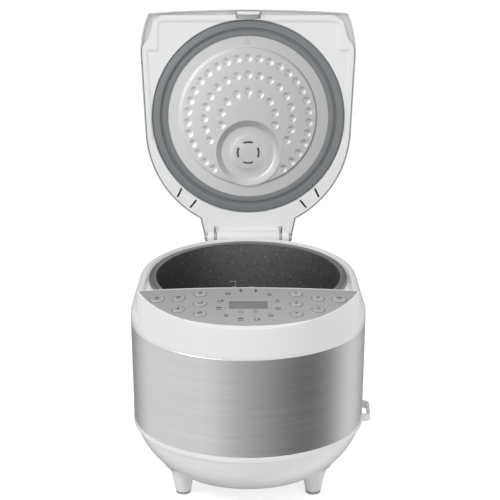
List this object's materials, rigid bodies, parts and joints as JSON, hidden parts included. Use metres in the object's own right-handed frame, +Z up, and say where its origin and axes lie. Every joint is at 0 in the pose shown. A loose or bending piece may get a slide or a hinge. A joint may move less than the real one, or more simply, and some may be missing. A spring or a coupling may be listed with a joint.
{
  "type": "rice cooker",
  "caption": "Rice cooker with a hinged domed lid, removable pot and inner lid, steel-banded body and sloping control console.",
  "frame": {"origin": "middle of the bounding box of the open cooker, at the floor the feet stand on", "axes": "+Z up, the console and the cooker's front face -Y, the paddle holder is at +X, the lid opens towards +Y"},
  "size_m": [0.293, 0.5086, 0.5196],
  "materials": {
    "white_plastic": "gloss white",
    "lid_plastic": "light grey white, satin",
    "brushed_steel": "brushed round the body",
    "liner_aluminium": "satin",
    "silver_panel": "silver lacquer",
    "window_plastic": "smoked window",
    "key_plastic": "bright silver",
    "board": "circuit board",
    "grey_plastic": "heat-proof plastic",
    "dark_plastic": "black",
    "clear_plastic": "milky plastic",
    "cast_aluminium": "cast",
    "inner_lid_aluminium": "satin anodised",
    "dark_steel": "plated steel",
    "brass": "plated pins",
    "pot_coating": "speckled non-stick coating on aluminium",
    "gasket_rubber": "grey silicone",
    "pad_rubber": "light grey rubber"
  },
  "bodies": {
    "cooker": {"base_shell": "white_plastic", "foot_pads": "pad_rubber", "steel_band": "brushed_steel", "upper_collar": "white_plastic", "chamber_liner": "liner_aluminium", "control_panel": "silver_panel", "display_window": "window_plastic", "control_board": "board", "display_module": "grey_plastic", "tact_switches": "dark_plastic", "heater_plate": "cast_aluminium", "heater_element": "dark_steel", "heater_posts": "dark_steel", "side_heater": "cast_aluminium", "thermal_fuse": "grey_plastic", "sensor_bracket": "dark_steel", "sensor_spring": "dark_steel", "power_board": "board", "power_inlet": "dark_plastic", "inlet_pins": "brass", "base_screws": "dark_steel", "paddle_holder": "white_plastic", "hinge_bracket": "dark_steel", "hinge_screws": "dark_steel", "hinge_pin": "dark_steel", "hinge_spring": "dark_steel"},
    "sensor": {"sensor_cap": "cast_aluminium"},
    "pot": {"pot": "pot_coating"},
    "dew_cup": {"dew_cup": "clear_plastic"},
    "lid": {"lid_cover": "white_plastic", "lid_liner": "lid_plastic", "lid_heat_plate": "cast_aluminium", "lid_sensor": "dark_steel", "lid_screws": "dark_steel", "hinge_cover": "lid_plastic", "steam_valve": "grey_plastic", "steam_seal": "gasket_rubber", "latch_spring": "dark_steel"},
    "steam_cap": {"steam_cap": "white_plastic"},
    "latch": {"latch_hook": "lid_plastic"},
    "release_button": {"release_button": "silver_panel"},
    "inner_lid": {"inner_lid": "inner_lid_aluminium", "inner_lid_gasket": "gasket_rubber"},
    "key_left_1": {"key_left_1": "key_plastic"},
    "key_left_2": {"key_left_2": "key_plastic"},
    "key_left_3": {"key_left_3": "key_plastic"},
    "key_left_4": {"key_left_4": "key_plastic"},
    "key_left_5": {"key_left_5": "key_plastic"},
    "key_left_6": {"key_left_6": "key_plastic"},
    "key_right_1": {"key_right_1": "key_plastic"},
    "key_right_2": {"key_right_2": "key_plastic"},
    "key_right_3": {"key_right_3": "key_plastic"},
    "key_right_4": {"key_right_4": "key_plastic"},
    "key_right_5": {"key_right_5": "key_plastic"},
    "key_right_6": {"key_right_6": "key_plastic"}
  },
  "joints": [
    {"name": "lid_hinge", "type": "hinge", "parent": "cooker", "child": "lid", "pos_m": [-0.0045, 0.12256, 0.2337], "axis": [-1, 0, 0], "range_deg": [-106.4, 0], "stiffness_Nm_per_rad": 0.8, "springref_deg": 11.46},
    {"name": "pot_lift", "type": "slide", "parent": "cooker", "child": "pot", "axis": [0, 0, 1], "range_m": [0, 0.18]},
    {"name": "sensor_press", "type": "slide", "parent": "cooker", "child": "sensor", "axis": [0, 0, 1], "range_m": [-0.002, 0], "stiffness_N_per_m": 300, "springref_m": 0.004, "deforming": ["sensor_spring"]},
    {"name": "dew_cup_pull", "type": "slide", "parent": "cooker", "child": "dew_cup", "axis": [0, 1, 0], "range_m": [0, 0.04]},
    {"name": "inner_lid_pull", "type": "slide", "parent": "lid", "child": "inner_lid", "axis": [0, -0.9593, 0.2823], "range_m": [0, 0.014]},
    {"name": "steam_cap_pull", "type": "slide", "parent": "lid", "child": "steam_cap", "axis": [0, 0.9593, -0.2823], "range_m": [0, 0.02]},
    {"name": "release_press", "type": "slide", "parent": "lid", "child": "release_button", "axis": [0, -0.9593, 0.2823], "range_m": [0, 0.004], "stiffness_N_per_m": 400, "springref_m": -0.002},
    {"name": "latch_slide", "type": "slide", "parent": "lid", "child": "latch", "axis": [0, -0.2823, -0.9593], "range_m": [0, 0.003]},
    {"name": "key_left_1_press", "type": "slide", "parent": "cooker", "child": "key_left_1", "axis": [0.0448, 0.2754, -0.9603], "range_m": [0, 0.0008], "stiffness_N_per_m": 500, "springref_m": -0.0004},
    {"name": "key_left_2_press", "type": "slide", "parent": "cooker", "child": "key_left_2", "axis": [0.0448, 0.2754, -0.9603], "range_m": [0, 0.0008], "stiffness_N_per_m": 500, "springref_m": -0.0004},
    {"name": "key_left_3_press", "type": "slide", "parent": "cooker", "child": "key_left_3", "axis": [0.0448, 0.2754, -0.9603], "range_m": [0, 0.0008], "stiffness_N_per_m": 500, "springref_m": -0.0004},
    {"name": "key_left_4_press", "type": "slide", "parent": "cooker", "child": "key_left_4", "axis": [0.0652, 0.2751, -0.9592], "range_m": [0, 0.0008], "stiffness_N_per_m": 500, "springref_m": -0.0004},
    {"name": "key_left_5_press", "type": "slide", "parent": "cooker", "child": "key_left_5", "axis": [0.0652, 0.2751, -0.9592], "range_m": [0, 0.0008], "stiffness_N_per_m": 500, "springref_m": -0.0004},
    {"name": "key_left_6_press", "type": "slide", "parent": "cooker", "child": "key_left_6", "axis": [0.0852, 0.2746, -0.9578], "range_m": [0, 0.0008], "stiffness_N_per_m": 500, "springref_m": -0.0004},
    {"name": "key_right_1_press", "type": "slide", "parent": "cooker", "child": "key_right_1", "axis": [-0.0448, 0.2754, -0.9603], "range_m": [0, 0.0008], "stiffness_N_per_m": 500, "springref_m": -0.0004},
    {"name": "key_right_2_press", "type": "slide", "parent": "cooker", "child": "key_right_2", "axis": [-0.0448, 0.2754, -0.9603], "range_m": [0, 0.0008], "stiffness_N_per_m": 500, "springref_m": -0.0004},
    {"name": "key_right_3_press", "type": "slide", "parent": "cooker", "child": "key_right_3", "axis": [-0.0448, 0.2754, -0.9603], "range_m": [0, 0.0008], "stiffness_N_per_m": 500, "springref_m": -0.0004},
    {"name": "key_right_4_press", "type": "slide", "parent": "cooker", "child": "key_right_4", "axis": [-0.0652, 0.2751, -0.9592], "range_m": [0, 0.0008], "stiffness_N_per_m": 500, "springref_m": -0.0004},
    {"name": "key_right_5_press", "type": "slide", "parent": "cooker", "child": "key_right_5", "axis": [-0.0652, 0.2751, -0.9592], "range_m": [0, 0.0008], "stiffness_N_per_m": 500, "springref_m": -0.0004},
    {"name": "key_right_6_press", "type": "slide", "parent": "cooker", "child": "key_right_6", "axis": [-0.0852, 0.2746, -0.9578], "range_m": [0, 0.0008], "stiffness_N_per_m": 500, "springref_m": -0.0004}
  ],
  "couplings": [
    {"joint": "latch_slide", "follows": "release_press", "ratio": 0.75}
  ]
}
